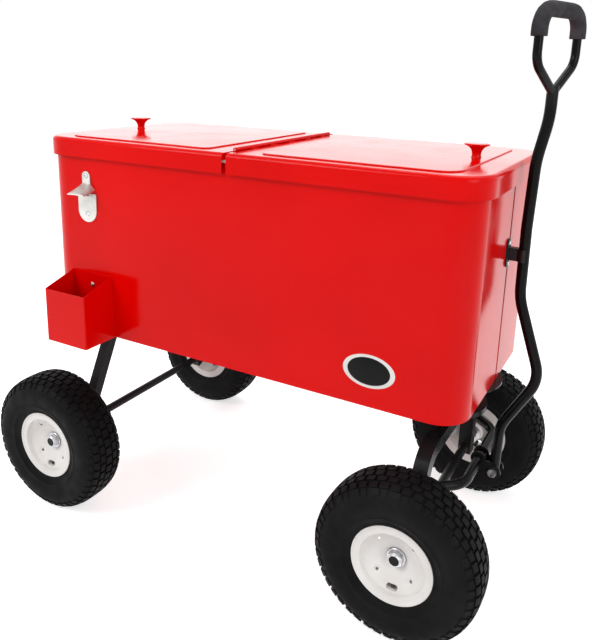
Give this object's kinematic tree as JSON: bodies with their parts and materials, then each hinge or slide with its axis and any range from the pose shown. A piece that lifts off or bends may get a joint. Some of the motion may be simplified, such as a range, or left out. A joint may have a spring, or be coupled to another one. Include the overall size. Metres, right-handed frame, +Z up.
{
  "type": "wheeled cooler",
  "caption": "Wheeled patio cooler: insulated steel box with hinged lids, wall bottle opener, cap catcher, steered front axle, pneumatic wheels and a fold-down pull handle.",
  "frame": {"origin": "on the ground under the middle of the box in plan", "axes": "+X along the box towards the pull handle, +Y across the box away from the bottle opener, +Z up"},
  "size_m": [0.95, 0.593, 0.9315],
  "materials": {
    "red_enamel": "gloss red enamel",
    "black_enamel": "gloss black powder coat",
    "white_enamel": "off-white enamel",
    "liner_plastic": "white plastic",
    "foam": "closed-cell insulation",
    "chrome": "bright chrome plate",
    "zinc": "zinc-plated steel",
    "tyre": "black rubber",
    "seal": "grey rubber",
    "grip_foam": "matt foam rubber",
    "drain_plastic": "white plastic",
    "clip_plastic": "black plastic",
    "clip_spring": "black coated spring steel"
  },
  "bodies": {
    "cooler": {"outer_shell": "red_enamel", "insulation_foam": "foam", "inner_liner": "liner_plastic", "rim_trim": "liner_plastic", "centre_divider": "red_enamel", "hinge_spine": "red_enamel", "hinge_pin": "zinc", "bottle_opener": "chrome", "opener_screws": "chrome", "cap_catcher": "red_enamel", "catcher_screw": "zinc", "clip_plate": "clip_plastic", "clip_screws": "zinc", "spring_clip": "clip_spring", "drain_spout": "drain_plastic", "rear_axle": "black_enamel", "rear_axle_nuts": "zinc", "rear_frame": "black_enamel", "rear_frame_bolts": "zinc", "front_pedestal": "black_enamel", "pedestal_bolts": "zinc", "turntable_upper": "black_enamel", "king_pin": "zinc"},
    "right_lid": {"right_lid_skin": "red_enamel", "right_lid_core": "foam", "right_lid_pan": "liner_plastic", "right_lid_gasket": "seal", "right_hinge_leaf": "red_enamel", "right_lid_knob": "red_enamel", "right_knob_screw": "zinc"},
    "left_lid": {"left_lid_skin": "red_enamel", "left_lid_core": "foam", "left_lid_pan": "liner_plastic", "left_lid_gasket": "seal", "left_hinge_leaf": "red_enamel", "left_lid_knob": "red_enamel", "left_knob_screw": "zinc"},
    "steering": {"turntable_lower": "black_enamel", "front_arch": "black_enamel", "drawbar_hoop": "black_enamel", "clevis": "black_enamel", "clevis_bolt": "zinc", "front_axle": "black_enamel", "front_axle_nuts": "zinc"},
    "handle": {"pull_tube": "black_enamel", "grip_loop": "black_enamel", "foam_grip": "grip_foam"},
    "drain_bung": {"drain_bung": "drain_plastic"},
    "front_near_wheel": {"front_near_tyre": "tyre", "front_near_rim": "white_enamel", "front_near_hub": "white_enamel"},
    "front_far_wheel": {"front_far_tyre": "tyre", "front_far_rim": "white_enamel", "front_far_hub": "white_enamel"},
    "rear_near_wheel": {"rear_near_tyre": "tyre", "rear_near_rim": "white_enamel", "rear_near_hub": "white_enamel"},
    "rear_far_wheel": {"rear_far_tyre": "tyre", "rear_far_rim": "white_enamel", "rear_far_hub": "white_enamel"}
  },
  "joints": [
    {"name": "right_lid_hinge", "type": "hinge", "parent": "cooler", "child": "right_lid", "pos_m": [0, 0, 0.7025], "axis": [0, -1, 0], "range_deg": [0, 85]},
    {"name": "left_lid_hinge", "type": "hinge", "parent": "cooler", "child": "left_lid", "pos_m": [0, 0, 0.7025], "axis": [0, 1, 0], "range_deg": [0, 85]},
    {"name": "steering_pivot", "type": "hinge", "parent": "cooler", "child": "steering", "pos_m": [0.334, 0, 0.28], "axis": [0, 0, 1], "range_deg": [-25, 25], "deforming": ["spring_clip"]},
    {"name": "handle_fold", "type": "hinge", "parent": "steering", "child": "handle", "pos_m": [0.417, 0, 0.18], "axis": [0, 1, 0], "range_deg": [0, 95], "deforming": ["spring_clip"]},
    {"name": "drain_bung_pull", "type": "slide", "parent": "cooler", "child": "drain_bung", "axis": [-1, 0, 0], "range_m": [0, 0.02]},
    {"name": "front_near_wheel_spin", "type": "hinge", "parent": "steering", "child": "front_near_wheel", "pos_m": [0.334, -0.221, 0.13], "axis": [0, 1, 0], "continuous": true},
    {"name": "front_far_wheel_spin", "type": "hinge", "parent": "steering", "child": "front_far_wheel", "pos_m": [0.334, 0.221, 0.13], "axis": [0, 1, 0], "continuous": true},
    {"name": "rear_near_wheel_spin", "type": "hinge", "parent": "cooler", "child": "rear_near_wheel", "pos_m": [-0.345, -0.254, 0.13], "axis": [0, 1, 0], "continuous": true},
    {"name": "rear_far_wheel_spin", "type": "hinge", "parent": "cooler", "child": "rear_far_wheel", "pos_m": [-0.345, 0.254, 0.13], "axis": [0, 1, 0], "continuous": true}
  ]
}
